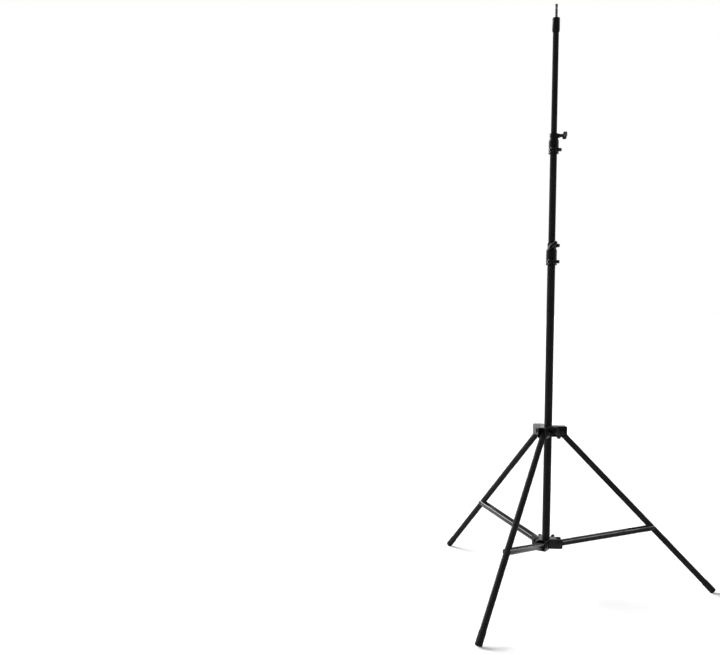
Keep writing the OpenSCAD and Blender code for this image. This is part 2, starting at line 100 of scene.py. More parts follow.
class StandFinishes(PropertyGroup):
    """Colours and gloss of the stand's surfaces."""

    tube: FloatVectorProperty(
        name="Tube", description="Satin coat on the tubes", subtype="COLOR", default=(0.017, 0.017, 0.0174))
    moulding: FloatVectorProperty(
        name="Moulding", description="Grained plastic of the clamps, hub and knobs", subtype="COLOR",
        default=(0.0055, 0.0055, 0.0057))
    paint: FloatVectorProperty(
        name="Paint", description="Semi-gloss paint on the braces", subtype="COLOR",
        default=(0.005, 0.005, 0.005))
    # Light grey painted highlight laid along the braces' folds, standing in for the gloss on the bends
    rubbed: FloatVectorProperty(
        name="Rubbed paint", description="Thin paint along the braces' folds", subtype="COLOR",
        default=(0.5, 0.5, 0.5))
    rubber: FloatVectorProperty(
        name="Rubber", description="Rubber of the feet", subtype="COLOR", default=(0.007, 0.007, 0.007))
    zinc: FloatVectorProperty(
        name="Black zinc", description="Blackened bolts, nuts and rivets", subtype="COLOR",
        default=(0.03, 0.03, 0.031))
    steel: FloatVectorProperty(
        name="Steel", description="Plated screws and stud", subtype="COLOR", default=(0.2, 0.2, 0.205))
    brass: FloatVectorProperty(
        name="Brass", description="Threaded inserts", subtype="COLOR", default=(0.55, 0.38, 0.14))
    satin: FloatProperty(
        name="Tube gloss", description="Specular level of the tubes' coat", subtype="FACTOR",
        min=0, max=1, default=0.05)
    gloss: FloatProperty(
        name="Moulding gloss", description="Specular level of the mouldings", subtype="FACTOR",
        min=0, max=1, default=0.22)


class StandDetails(PropertyGroup):
    """Sizes of the details that the mouldings, pressings and fasteners carry."""

    grain: FloatProperty(
        name="Moulding cell", description="Cell size at which mouldings are fused", subtype="DISTANCE",
        default=0.6 * MM, precision=5)
    knob_grain: FloatProperty(
        name="Knob cell", description="Cell size at which knobs are fused", subtype="DISTANCE",
        default=0.42 * MM, precision=5)
    soften: IntProperty(
        name="Softening", description="Passes that round a moulding's edges", default=6, min=0)
    boss: FloatProperty(
        name="Bolt pad", description="Radius of the raised pad round a pivot bolt", subtype="DISTANCE",
        default=8.5 * MM, precision=5)
    boss_out: FloatProperty(
        name="Bolt pad height", description="How far a bolt pad stands out", subtype="DISTANCE",
        default=0.9 * MM, precision=5)
    rib_pitch: FloatProperty(
        name="Rib pitch", description="Distance between the grip ribs on a knob's bar", subtype="DISTANCE",
        default=3 * MM, precision=5)
    rib_out: FloatProperty(
        name="Rib height", description="Height of the grip ribs", subtype="DISTANCE",
        default=0.55 * MM, precision=5)
    neck_flutes: IntProperty(name="Flutes", description="Flutes round a knob's neck", default=14, min=3)
    bend: FloatProperty(
        name="Bend radius", description="Outside radius of a brace's folds", subtype="DISTANCE",
        default=3 * MM, precision=5)
    sheet: FloatProperty(
        name="Brace sheet", description="Thickness of a brace's sheet", subtype="DISTANCE",
        default=1.5 * MM, precision=5)
    fork: FloatProperty(
        name="Fork", description="Length of a brace's open fork", subtype="DISTANCE",
        default=76 * MM, precision=5)
    foot_rings: IntProperty(name="Foot rings", description="Grip rings round a foot", default=5, min=0)
    thread: FloatProperty(
        name="Thread pitch", description="Pitch of the bolts' threads", subtype="DISTANCE",
        default=1 * MM, precision=5)


class StandStage(PropertyGroup):
    """Floor, lamps and camera."""

    camera: FloatVectorProperty(
        name="Camera", description="Where the camera stands", subtype="TRANSLATION",
        default=(-0.554, -2.7327, 0.9439))
    heading: FloatProperty(
        name="Heading", description="Turn of the camera about the vertical", subtype="ANGLE",
        default=math.radians(1.283))
    pitch: FloatProperty(
        name="Pitch", description="How far the camera looks down", subtype="ANGLE",
        default=math.radians(1.973))
    roll: FloatProperty(
        name="Roll", description="Tilt of the camera about its view", subtype="ANGLE",
        default=math.radians(0.69))
    lens: FloatProperty(
        name="Lens", description="Focal length on a 36 mm wide frame, in millimetres", default=42.04)
    key: FloatProperty(
        name="Key", description="Strength of the wide lamp behind on the left", default=2.5)
    top: FloatProperty(
        name="Top", description="Strength of the small lamp overhead", default=0.35)
    back: FloatProperty(
        name="Back", description="Strength of the small lamp behind", default=0.25)
    sweep: FloatProperty(
        name="Sweep", description="Strength of the low lamp on the left that lights the floor alone",
        default=8.0)
    side: FloatProperty(
        name="Side", description="Power of the long panel that stands on the floor on the left, in watts",
        default=16)
    sky: FloatProperty(name="Sky", description="Strength of the light from all round", default=0.36)
    front: FloatProperty(
        name="Front", description="How bright the room in front of the stand looks in its gloss",
        subtype="FACTOR", min=0, max=1, default=0.2)
    floor: FloatProperty(
        name="Floor", description="Share of light that the floor gives back to the camera",
        subtype="FACTOR", min=0, max=1, default=0.86)
    bounce: FloatProperty(
        name="Bounce", description="Share of light that the floor gives back to the stand",
        subtype="FACTOR", min=0, max=1, default=0.56)
    apron: FloatProperty(
        name="Apron", description="How far the floor reaches in front of the mast", subtype="DISTANCE",
        default=1.1)
    glow: FloatProperty(
        name="Floor white", description="Light that the camera sees added to the floor", default=0.12)


def finishes():
    """The colours set in the panel."""
    return bpy.context.scene.stand_finishes


def details():
    """The detail sizes set in the panel."""
    return bpy.context.scene.stand_details


# Places on the stand

def leg_turn(i):
    """Turn from leg 1 to leg i."""
    return Matrix.Rotation((i - 1) * LEG_STEP, 4, "Z")


def at_joint(name):
    """Place of a joint at rest, with the stand's own axes."""
    return Matrix.Translation(JOINTS[name]["pos_m"])


def along_leg(i):
    """Place at a leg's pivot with +Z running down the leg."""
    return leg_turn(i) @ at_joint("leg_fold_1") @ Matrix.Rotation(math.pi - LEG_LEAN, 4, "Y")


def along_brace(i):
    """Place at a brace's inner pivot with +X running out along the brace."""
    return leg_turn(i) @ at_joint("brace_fold_1") @ Matrix.Rotation(-BRACE_RISE, 4, "Y")


def across(joint, i):
    """Place at the middle of a leg's pivot with +Z running along the bolt to its nut."""
    return leg_turn(i) @ at_joint(joint) @ Matrix.Rotation(SQUARE, 4, "X")


def outward(joint):
    """Place on a knob's screw line with +Z running out from the mast and +X down."""
    axis = Vector(JOINTS[joint]["axis"])
    spot = Vector(JOINTS[joint]["pos_m"])
    turn = Matrix.Rotation(math.atan2(axis.y, axis.x), 4, "Z")
    return Matrix.Translation((0, 0, spot.z)) @ turn @ Matrix.Rotation(SQUARE, 4, "Y")


def reach(node, place):
    """Lowest and highest corner of a CAD node as seen from a place."""
    back = place.inverted()
    points = [back @ vertex.co for vertex in frame["nodes"][node].data.vertices]
    low = Vector([min(point[k] for point in points) for k in range(3)])
    high = Vector([max(point[k] for point in points) for k in range(3)])
    return low, high


# Solids

def filleted(points, steps=4):
    """An outline of (x, y, fillet) points with each filleted corner drawn as an arc."""
    outline = []
    for k, (x, y, fillet) in enumerate(points):
        corner = Vector((x, y))
        if not fillet:
            outline.append(corner)
            continue
        before = (Vector(points[k - 1][:2]) - corner).normalized()
        after = (Vector(points[(k + 1) % len(points)][:2]) - corner).normalized()
        half = before.angle(after) / 2
        start = corner + before * fillet / math.tan(half)
        end = corner + after * fillet / math.tan(half)
        centre = corner + (before + after).normalized() * fillet / math.sin(half)
        swing = (start - centre).angle_signed(end - centre)
        for step in range(steps + 1):
            spoke = (start - centre).copy()
            spoke.rotate(Matrix.Rotation(-swing * step / steps, 2))
            outline.append(centre + spoke)
    return outline


def bridge(shape, first, second):
    """Faces between two rings, either of which may be a single point."""
    count = max(len(first), len(second))
    for k in range(count):
        corners = [first[k % len(first)], first[(k + 1) % len(first)],
                   second[(k + 1) % len(second)], second[k % len(second)]]
        shape.faces.new(list(dict.fromkeys(corners)))


def ring_of(shape, place, points):
    """A ring of vertices at a place."""
    return [shape.verts.new(place @ Vector(point)) for point in points]


def turned(shape, place, profile, segments=48, trim=None, loop=False):
    """A solid turned about +Z from (radius, height) points.

    trim changes a radius by its angle and height, and loop joins the last point to the first.
    """
    rings = []
    for radius, height in profile:
        if radius < TINY:
            rings.append(ring_of(shape, place, [(0, 0, height)]))
            continue
        points = []
        for k in range(segments):
            angle = 2 * math.pi * k / segments
            size = trim(radius, angle, height) if trim else radius
            points.append((size * math.cos(angle), size * math.sin(angle), height))
        rings.append(ring_of(shape, place, points))
    for first, second in zip(rings, rings[1:]):
        bridge(shape, first, second)
    if loop:
        bridge(shape, rings[-1], rings[0])


def prism(shape, place, outline, low, high):
    """A straight solid between two heights with an (x, y) outline."""
    bottom = ring_of(shape, place, [(x, y, low) for x, y in outline])
    top = ring_of(shape, place, [(x, y, high) for x, y in outline])
    bridge(shape, bottom, top)
    shape.faces.new(bottom)
    shape.faces.new(top)


def hexagon(flats):
    """A trim that holds a turned solid inside a hexagon."""
    sixth = math.pi / 3

    def trim(radius, angle, height):
        return min(radius, flats / 2 / math.cos(angle % sixth - sixth / 2))
    return trim


def threaded(pitch, depth):
    """A trim that cuts a helical thread into a turned solid."""
    def trim(radius, angle, height):
        turn = (height / pitch - angle / (2 * math.pi)) % 1
        return radius - depth * abs(2 * turn - 1)
    return trim


def closed_mesh(shape, name):
    """The shape as a smooth-shaded mesh with its faces turned outward."""
    bmesh.ops.recalc_face_normals(shape, faces=shape.faces)
    mesh = bpy.data.meshes.new(name)
    shape.to_mesh(mesh)
    shape.free()
    mesh.shade_smooth()
    return mesh


def crisp_mesh(shape, name, angle):
    """The shape as a closed mesh on which edges over an angle, in degrees, stay sharp."""
    mesh = closed_mesh(shape, name)
    mesh.set_sharp_from_angle(angle=math.radians(angle))
    return mesh


def settled(item, name):
    """The mesh of an object with its modifiers applied; the object itself is dropped."""
    graph = bpy.context.evaluated_depsgraph_get()
    mesh = bpy.data.meshes.new_from_object(item.evaluated_get(graph))
    mesh.name = name
    bpy.data.objects.remove(item)
    return mesh


def scratch(mesh):
    """A passing object that carries modifiers."""
    item = bpy.data.objects.new("scratch", mesh)
    bpy.context.scene.collection.objects.link(item)
    return item


def moulded(shape, name, cell, passes, keep):
    """Fuse a shape's solids into one moulding with softened edges."""
    item = scratch(closed_mesh(shape, name))
    fuse = item.modifiers.new("fuse", "REMESH")
    fuse.mode = "VOXEL"
    fuse.voxel_size = cell
    soft = item.modifiers.new("soften", "SMOOTH")
    soft.factor = 0.5
    soft.iterations = passes
    thin = item.modifiers.new("thin", "DECIMATE")
    thin.ratio = keep
    mesh = settled(item, name)
    mesh.shade_smooth()
    return mesh


def machined(shape, name, cuts, edge):
    """A shape after boolean cuts, with its edges broken by a small bevel."""
    sharp = math.radians(35)
    item = scratch(closed_mesh(shape, name))
    tools = []
    for operation, tool_shape in cuts:
        tool = scratch(closed_mesh(tool_shape, "tool"))
        cut = item.modifiers.new("cut", "BOOLEAN")
        cut.operation = operation
        cut.solver = "EXACT"
        cut.object = tool
        tools.append(tool)
    broken = item.modifiers.new("edge", "BEVEL")
    broken.width = edge
    broken.segments = 2
    broken.limit_method = "ANGLE"
    broken.angle_limit = sharp
    broken.use_clamp_overlap = False
    mesh = settled(item, name)
    for tool in tools:
        bpy.data.objects.remove(tool)
    mesh.shade_smooth()
    mesh.set_sharp_from_angle(angle=sharp)
    return mesh


def cad_shell(node):
    """A CAD node's solid as a shape of its own, with its seams joined."""
    shape = bmesh.new()
    shape.from_mesh(frame["nodes"][node].data)
    bmesh.ops.remove_doubles(shape, verts=shape.verts, dist=MM / 1000)
    return shape


def place_piece(name, mesh, body, slot, material, *nodes):
    """Put a finished mesh on its body in place of CAD nodes."""
    mesh.materials.clear()
    mesh.materials.append(material)
    piece = bpy.data.objects.new(name, mesh)
    bpy.context.scene.collection.objects.link(piece)
    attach(piece, body)
    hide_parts(*nodes)


def dress(node, material):
    """Give a CAD node its finish."""
    mesh = frame["nodes"][node].data
    mesh.materials.clear()
    mesh.materials.append(material)


# Finishes

def feed(tree, socket, value):
    """Link a value to a socket, or set it there."""
    if isinstance(value, bpy.types.NodeSocket):
        tree.links.new(value, socket)
    else:
        socket.default_value = value


def wire(tree, kind, **inputs):
    """A shader node with values or links for its inputs."""
    node = tree.nodes.new(kind)
    for label, value in inputs.items():
        feed(tree, node.inputs[label.replace("_", " ")], value)
    return node


def combined(tree, operation, first, second):
    """Two values put together by a math node."""
    node = tree.nodes.new("ShaderNodeMath")
    node.operation = operation
    feed(tree, node.inputs[0], first)
    feed(tree, node.inputs[1], second)
    return node.outputs["Value"]


def ramp(tree, factor, stops):
    """A colour ramp from (position, colour) stops."""
    node = wire(tree, "ShaderNodeValToRGB", Fac=factor)
    spare = node.color_ramp.elements
    for k, (position, colour) in enumerate(stops):
        stop = spare[k] if k < len(spare) else spare.new(position)
        stop.position = position
        stop.color = (*colour, 1)
    return node.outputs["Color"]


def shade(colour, factor):
    """A colour made lighter or darker."""
    return tuple(min(1, channel * factor) for channel in colour)


def surface(name, colour, rough, mottle, grain, depth, metal=0.0, level=0.5, stretch=(1, 1, 1), scuff=0.0,
            wear=0.0, fold_highlight_colour=None):
    """A material: mottled colour and gloss, a fine grain, scuffs, worn edges and a painted highlight on
    folds.

    mottle and grain are pattern scales per metre, depth is the grain's height in metres, stretch
    draws the scuffs out, and scuff and wear say how light they are. The fold colour, given last, is a
    painted highlight laid along the folds that a mesh marks.
    """
    material = bpy.data.materials.get(name)
    if material:
        return material
    material = bpy.data.materials.new(name)
    material.use_nodes = True
    tree = material.node_tree
    shader = tree.nodes["Principled BSDF"]
    spot = tree.nodes.new("ShaderNodeTexCoord").outputs["Object"]
    cloud = wire(tree, "ShaderNodeTexNoise", Vector=spot, Scale=mottle, Detail=6.0, Roughness=0.6)
    base = ramp(tree, cloud.outputs["Fac"], [(0.3, shade(colour, 0.8)), (0.7, shade(colour, 1.25))])
    gloss = wire(tree, "ShaderNodeMapRange", Value=cloud.outputs["Fac"], From_Min=0.3, From_Max=0.7,
                 To_Min=rough - 0.05, To_Max=rough + 0.06).outputs["Result"]
    if scuff:
        drawn = wire(tree, "ShaderNodeVectorMath", Vector=spot)
        drawn.operation = "MULTIPLY"
        drawn.inputs[1].default_value = stretch
        streak = wire(tree, "ShaderNodeTexNoise", Vector=drawn.outputs["Vector"], Scale=1.0, Detail=4.0)
        line = ramp(tree, streak.outputs["Fac"], [(0.62, (0, 0, 0)), (0.72, (scuff, scuff, scuff))])
        base = blended(tree, line, base, shade(colour, 4))
    if wear:
        edge = tree.nodes.new("ShaderNodeNewGeometry").outputs["Pointiness"]
        worn = ramp(tree, edge, [(0.52, (0, 0, 0)), (0.6, (wear, wear, wear))])
        base = blended(tree, worn, base, shade(colour, 5))
    # Painted highlight: a light colour, broken into patches, along the marked folds in place of their gloss
    if fold_highlight_colour:
        patchy = ramp(tree, cloud.outputs["Fac"], [(0.35, (0.45, 0.45, 0.45)), (0.6, (1, 1, 1))])
        fold = combined(tree, "MULTIPLY", patchy, marked(tree, "rubbed"))
        base = blended(tree, fold, base, fold_highlight_colour)
        gloss = wire(tree, "ShaderNodeMix", Factor=marked(tree, "dusty"), A=gloss, B=1.0).outputs["Result"]
    tree.links.new(base, shader.inputs["Base Color"])
    tree.links.new(gloss, shader.inputs["Roughness"])
    fine = wire(tree, "ShaderNodeTexNoise", Vector=spot, Scale=grain, Detail=3.0)
    bump = wire(tree, "ShaderNodeBump", Height=fine.outputs["Fac"], Strength=1.0, Distance=depth)
    tree.links.new(bump.outputs["Normal"], shader.inputs["Normal"])
    shader.inputs["Metallic"].default_value = metal
    shader.inputs["Specular IOR Level"].default_value = level
    return material


def marked(tree, name):
    """How strongly a mesh marks each point."""
    node = tree.nodes.new("ShaderNodeAttribute")
    node.attribute_name = name
    return node.outputs["Fac"]


def blended(tree, factor, first, colour):
    """A colour laid over another where a factor is high."""
    node = tree.nodes.new("ShaderNodeMix")
    node.data_type = "RGBA"
    tree.links.new(factor, node.inputs["Factor"])
    tree.links.new(first, node.inputs["A"])
    node.inputs["B"].default_value = (*colour, 1)
    return node.outputs["Result"]


def tube_coat():
    """Satin black coat with drawn-out scuffs."""
    return surface("tube_coat", finishes().tube, rough=0.5, mottle=30, grain=2600, depth=0.02 * MM,
                   level=finishes().satin, stretch=(700, 700, 25), scuff=0.35)


def grained_plastic():
    """Black plastic with a spark-eroded grain and lighter edges."""
    return surface("grained_plastic", finishes().moulding, rough=0.2, mottle=90, grain=1800,
                   depth=0.006 * MM, level=finishes().gloss, wear=0.3)


def plain_plastic():
    """Smooth black plastic of the plugs and guide rings."""
    return surface("plain_plastic", finishes().moulding, rough=0.42, mottle=60, grain=900,
                   depth=0.02 * MM, level=finishes().gloss)


def brace_paint():
    """Semi-gloss black paint with a slight orange peel, dull on top, with a painted highlight along the
    folds.
    """
    return surface("brace_paint", finishes().paint, rough=0.2, mottle=45, grain=420, depth=0.01 * MM,
                   level=0.36, stretch=(220, 220, 220), scuff=0.2, fold_highlight_colour=finishes().rubbed)


def foot_rubber():
    """Matte black rubber with dusty patches."""
    return surface("foot_rubber", finishes().rubber, rough=0.72, mottle=120, grain=1500, depth=0.05 * MM,
                   level=0.2, stretch=(160, 160, 160), scuff=0.25)


def black_zinc():
    """Blackened steel fasteners."""
    return surface("black_zinc", finishes().zinc, rough=0.34, mottle=400, grain=3000, depth=0.01 * MM,
                   metal=0.7)


def plated_steel():
    """Dull plated steel."""
    return surface("plated_steel", finishes().steel, rough=0.3, mottle=250, grain=3000, depth=0.01 * MM,
                   metal=1.0, stretch=(900, 900, 60), scuff=0.15)


def turned_brass():
    """Turned brass inserts."""
    return surface("turned_brass", finishes().brass, rough=0.3, mottle=300, grain=3000, depth=0.01 * MM,
                   metal=1.0)


class STAND_OT_tubes(Operator):
    """Coat the mast and leg tubes"""

    bl_idname = "stand.tubes"
    bl_label = "Tubes"

    def execute(self, context):
        names = ["lower_tube", "middle_tube", "upper_tube", *(f"leg_tube_{i}" for i in LEGS)]
        for name in names:
            dress(name, tube_coat())
        return {"FINISHED"}


class STAND_OT_inner(Operator):
    """Finish the plugs, guide rings, inserts and screws inside"""

    bl_idname = "stand.inner"
    bl_label = "Inner pieces"

    def execute(self, context):
        plugs = ["base_plug", "middle_plug", "upper_plug", "middle_guide_ring", "upper_guide_ring"]
        for name in plugs + [f"leg_plug_{i}" for i in LEGS]:
            dress(name, plain_plastic())
        for name in ("bracket_insert", "hub_insert"):
            dress(name, turned_brass())
        for name in ["stud_nut", *(f"{knob}_screw" for knob in KNOBS)]:
            dress(name, plated_steel())
        return {"FINISHED"}


class STAND_OT_collars(Operator):
    """Mould the two clamp collars"""

    bl_idname = "stand.collars"
    bl_label = "Clamp collars"

    def execute(self, context):
        for node, body in (("lower_collar", "lower_mast"), ("upper_collar", "middle_section")):
            mesh = moulded(cad_shell(node), node, details().grain, details().soften, keep=0.3)
            place_piece(f"{node}_moulding", mesh, body, "moulded_black", grained_plastic(), node)
        return {"FINISHED"}


class STAND_OT_castings(Operator):
    """Mould the sliding hub and the brace bracket"""

    bl_idname = "stand.castings"
    bl_label = "Hub and bracket"

    def execute(self, context):
        castings = (("leg_hub", "hub", "leg_fold_1"), ("brace_bracket", "lower_mast", "brace_fold_1"))
        for node, body, joint in castings:
            shape = cad_shell(node)
            self.add_pads(shape, joint, node)
            mesh = moulded(shape, node, details().grain, details().soften, keep=0.2)
            place_piece(f"{node}_moulding", mesh, body, "moulded_black", grained_plastic(), node)
        return {"FINISHED"}

    def add_pads(self, shape, joint, node):
        """Raised pads on both cheeks of each arm, round the bolt."""
        half = arm_width(node) / 2
        pad = details().boss
        rise = details().boss_out
        bore = pad / 3
        for i in LEGS:
            for side in (0, math.pi):
                place = across(joint, i) @ Matrix.Rotation(side, 4, "X")
                turned(shape, place, [(bore, half - rise), (pad, half - rise), (pad, half + rise),
                                      (bore, half + rise)], loop=True)


def arm_width(node):
    """Width of an arm of the hub or bracket: the span of its outermost points along Y on leg 1."""
    points = [vertex.co for vertex in frame["nodes"][node].data.vertices]
    tip = max(point.x for point in points)
    end = [point.y for point in points if point.x > tip - MM]
    return max(end) - min(end)


class STAND_OT_knobs(Operator):
    """Mould the four T knobs"""

    bl_idname = "stand.knobs"
    bl_label = "T knobs"

    def execute(self, context):
        for node, (joint, body, turn) in KNOBS.items():
            place = outward(joint) @ Matrix.Rotation(math.radians(turn), 4, "Z")
            shape = bmesh.new()
            low, high = reach(node, place)
            self.add_bar(shape, place, high)
            self.add_neck(shape, place, low.z, high)
            mesh = moulded(shape, node, details().knob_grain, 2, keep=0.4)
            place_piece(f"{node}_moulding", mesh, body, "moulded_black", grained_plastic(), node)
        return {"FINISHED"}

    def add_bar(self, shape, place, high):
        """A round-ended bar, ribbed along its two long sides."""
        half_length, half_width, top = high
        thick = 1.15 * half_width
        middle = top - thick
        stations, around = 72, 40
        bluntness = 5
        grip_start, grip_end = 0.3, 0.82
        rings = [ring_of(shape, place, [(-half_length, 0, middle)])]
        for k in range(1, stations):
            x = -half_length * math.cos(math.pi * k / stations)
            along = abs(x / half_length)
            swell = (1 - along ** bluntness) ** (1 / bluntness)
            rib = 0
            if grip_start < along < grip_end:
                rib = details().rib_out * max(0, math.cos(2 * math.pi * x / details().rib_pitch))
            points = []
            for step in range(around):
                angle = 2 * math.pi * step / around
                y = squared(math.cos(angle)) * (half_width * swell - details().rib_out + rib)
                z = squared(math.sin(angle)) * thick * swell
                points.append((x, y, middle + z))
            rings.append(ring_of(shape, place, points))
        rings.append(ring_of(shape, place, [(half_length, 0, middle)]))
        for first, second in zip(rings, rings[1:]):
            bridge(shape, first, second)

    def add_neck(self, shape, place, foot, high):
        """A fluted neck with a bored foot, and a cap disc on the bar's face."""
        screw, radius = 3.05 * MM, 5.75 * MM
        waist = 0.94 * radius
        rim, narrow, flare, end = foot + 2.6 * MM, foot + 3.2 * MM, foot + 7 * MM, foot + 12 * MM
        flutes = details().neck_flutes
        flute_start, flute_depth = foot + 3 * MM, 0.08

        def trim(size, angle, height):
            depth = flute_depth if size > screw and flute_start < height else 0
            return size * (1 - depth * (0.5 + 0.5 * math.cos(flutes * angle)))
        neck = [(screw, foot), (radius, foot), (radius, rim), (waist, narrow), (waist, flare),
                (radius, end), (screw, end)]
        turned(shape, place, neck, segments=84, trim=trim, loop=True)
        wide, lip, dish = 3.6 * MM, 2.9 * MM, 2.6 * MM
        under, over, sunk = high.z - 2 * MM, high.z + 0.4 * MM, high.z - 0.1 * MM
        cap = [(0, under), (wide, under), (wide, over), (lip, over), (dish, sunk), (0, sunk)]
        turned(shape, place, cap)


def squared(value):
    """A cosine or sine bent towards a square, for a section with soft corners."""
    return math.copysign(math.sqrt(abs(value)), value)


class STAND_OT_braces(Operator):
    """Press the three channel braces"""

    bl_idname = "stand.braces"
    bl_label = "Braces"

    def execute(self, context):
        for i in LEGS:
            node = f"brace_{i}"
            place = along_brace(i)
            high = reach(node, place)[1]
            mesh = self.channel(node, place, high)
            self.mark_folds(mesh, place, high)
            place_piece(f"{node}_pressing", mesh, f"brace_arm_{i}", "brace_black", brace_paint(), node)
        return {"FINISHED"}

    def channel(self, name, place, high):
        """A folded channel with round ends, a fork and its pivot holes."""
        half_width, half_height = high.y, high.z
        length = high.x - half_height
        sheet = details().sheet
        bend = details().bend
        inside, under = half_width - sheet, half_height - sheet
        spare, span = 2 * half_height, 2 * half_width
        section = filleted([
            (-half_width, -half_height, 0), (-half_width, half_height, bend),
            (half_width, half_height, bend), (half_width, -half_height, 0),
            (inside, -half_height, 0), (inside, under, bend - sheet),
            (-inside, under, bend - sheet), (-inside, -half_height, 0)])
        shape = bmesh.new()
        lengthwise = place @ Matrix.Rotation(SQUARE, 4, "Z") @ Matrix.Rotation(SQUARE, 4, "X")
        prism(shape, lengthwise, section, -spare, length + spare)
        ends = bmesh.new()
        tip = length + half_height
        curve = 0.999 * half_height
        side = filleted([
            (-half_height, -half_height, curve), (tip, -half_height, curve),
            (tip, half_height, curve), (-half_height, half_height, curve)], steps=10)
        upright = place @ Matrix.Rotation(SQUARE, 4, "X")
        prism(ends, upright, side, -span, span)
        fork = bmesh.new()
        root, hollow = length - details().fork, 4 * MM
        notch = filleted([
            (root, -inside, hollow), (length + spare, -inside, 0), (length + spare, inside, 0),
            (root, inside, hollow)])
        prism(fork, place, notch, -spare, spare)
        holes = bmesh.new()
        for x in (0, length):
            hole = upright @ Matrix.Translation((x, 0, 0))
            turned(holes, hole, [(0, -span), (M5_HOLE, -span), (M5_HOLE, span), (0, span)], segments=32)
        cuts = [("INTERSECT", ends), ("DIFFERENCE", fork), ("DIFFERENCE", holes)]
        return machined(shape, name, cuts, edge=0.25 * MM)

    def mark_folds(self, mesh, place, high):
        """Mark the outer half of both folds for a painted highlight, and the top between them as dusty."""
        back = place.inverted()
        bend = details().bend
        outer = bend - details().sheet / 2
        start, slope = bend / 50, 1.1
        rubbed = mesh.attributes.new("rubbed", "FLOAT", "POINT")
        dusty = mesh.attributes.new("dusty", "FLOAT", "POINT")
        for vertex in mesh.vertices:
            point = back @ vertex.co
            out, up = abs(point.y) - (high.y - bend), point.z - (high.z - bend)
            on_fold = start < up < slope * out and math.hypot(out, up) > outer
            rubbed.data[vertex.index].value = on_fold
            dusty.data[vertex.index].value = up > outer and not on_fold


class STAND_OT_feet(Operator):
    """Fit the three rubber feet"""

    bl_idname = "stand.feet"
    bl_label = "Feet"

    def execute(self, context):
        for i in LEGS:
            node = f"foot_{i}"
            place = along_leg(i)
            low, high = reach(node, place)
            shape = bmesh.new()
            turned(shape, place, self.profile(low.z, high.z, high.y), segments=64)
            self.cut_sole(shape)
            mesh = crisp_mesh(shape, node, 40)
            place_piece(f"{node}_cap", mesh, f"leg_{i}", "rubber_black", foot_rubber(), node)
        return {"FINISHED"}

    def profile(self, mouth, end, radius):
        """From the middle of the end face, up the ringed outside, over the mouth and down the bore."""
        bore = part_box("leg_tube_1")[1].y + CLEARANCE
        floor = end - 4 * MM
        points = [(0, end, 0), (radius - 4 * MM, end, 0), (radius - 3.2 * MM, end - 0.6 * MM, 0),
                  (radius - 2.4 * MM, end, 0), (radius, end, 1.6 * MM)]
        first, pitch = 6 * MM, 4 * MM
        grooves = [end - first - pitch * k for k in range(details().foot_rings)]
        deep = radius - 0.4 * MM
        soft = 0.15 * MM
        for edge in [*grooves, mouth + 5 * MM]:
            points += [(radius, edge, soft), (deep, edge - 0.5 * MM, soft), (deep, edge - 1.5 * MM, soft),
                       (radius, edge - 2 * MM, soft)]
        points += [(radius, mouth, 0.7 * MM), (bore, mouth, soft), (bore, floor, 0), (0, floor, 0)]
        return filleted(points)

    def cut_sole(self, shape):
        """Cut the foot flat at the floor."""
        everything = shape.verts[:] + shape.edges[:] + shape.faces[:]
        bmesh.ops.bisect_plane(
            shape, geom=everything, plane_co=(0, 0, 0), plane_no=(0, 0, -1), clear_outer=True)
        rim = [edge for edge in shape.edges if edge.is_boundary]
        bmesh.ops.holes_fill(shape, edges=rim)


class STAND_OT_fasteners(Operator):
    """Turn the bolts, nuts, screws and rivets"""

    bl_idname = "stand.fasteners"
    bl_label = "Fasteners"

    def execute(self, context):
        for name, joint, body, size in (("leg_pivot", "leg_fold_1", "hub", 6 * MM),
                                        ("brace_pivot", "brace_fold_1", "lower_mast", 5 * MM)):
            self.pivot_set(name, joint, body, size)
        for name, body in (("lower", "lower_mast"), ("upper", "middle_section")):
            self.pinch_set(name, body)
        self.blank_screw()
        for name in ["head_cap_screw", *(f"brace_rivets_{i}" for i in LEGS)]:
            dress(name, black_zinc())
        return {"FINISHED"}

    def pivot_set(self, name, joint, body, size):
        """The three bolts and three lock nuts of the legs or braces."""
        bolts, nuts = bmesh.new(), bmesh.new()
        face, outer = nut_faces(f"{name}_nuts", across(joint, 1))
        head, tail = nut_faces(f"{name}_bolts", across(joint, 1))
        for i in LEGS:
            place = across(joint, i)
            add_bolt(bolts, place, size, head, -face, tail)
            add_lock_nut(nuts, place, size, face, outer)
        place_fastener(bolts, f"{name}_bolts", body)
        place_fastener(nuts, f"{name}_nuts", body)

    def pinch_set(self, name, body):
        """The bolt and sleeve nut that close a collar's ears."""
        nut_low, nut_high, place = along_x(f"{name}_pinch_nut")
        bolt_low, bolt_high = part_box(f"{name}_pinch_bolt")
        bolt, nut = bmesh.new(), bmesh.new()
        add_bolt(bolt, place, 5 * MM, bolt_low.x, -nut_low.x, bolt_high.x)
        add_socket_head(nut, place, (nut_high.z - nut_low.z) / 2, nut_low.x, nut_high.x, M5_HOLE)
        place_fastener(bolt, f"{name}_pinch_bolt", body)
        place_fastener(nut, f"{name}_pinch_nut", body)

    def blank_screw(self):
        """The socket screw that fills the lower collar's second boss."""
        low, high, place = along_x("lower_blank_screw")
        shank, face = 3 * MM, high.x - 6 * MM
        shape = bmesh.new()
        add_socket_head(shape, place, (high.z - low.z) / 2, face, high.x, 0)
        turned(shape, place, [(0, low.x), (shank, low.x), (shank, face), (0, face)])
        place_fastener(shape, "lower_blank_screw", "lower_mast")


def place_fastener(shape, node, body):
    """Put a turned fastener on its body in place of its CAD node."""
    mesh = crisp_mesh(shape, node, 30)
    place_piece(f"{node}_turned", mesh, body, "fastener_black", black_zinc(), node)


def along_x(node):
    """Corners of a node's box, and a place on its middle line with +Z running along +X."""
    low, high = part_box(node)
    middle = (low + high) / 2
    place = Matrix.Translation((0, middle.y, middle.z)) @ Matrix.Rotation(SQUARE, 4, "Y")
    return low, high, place


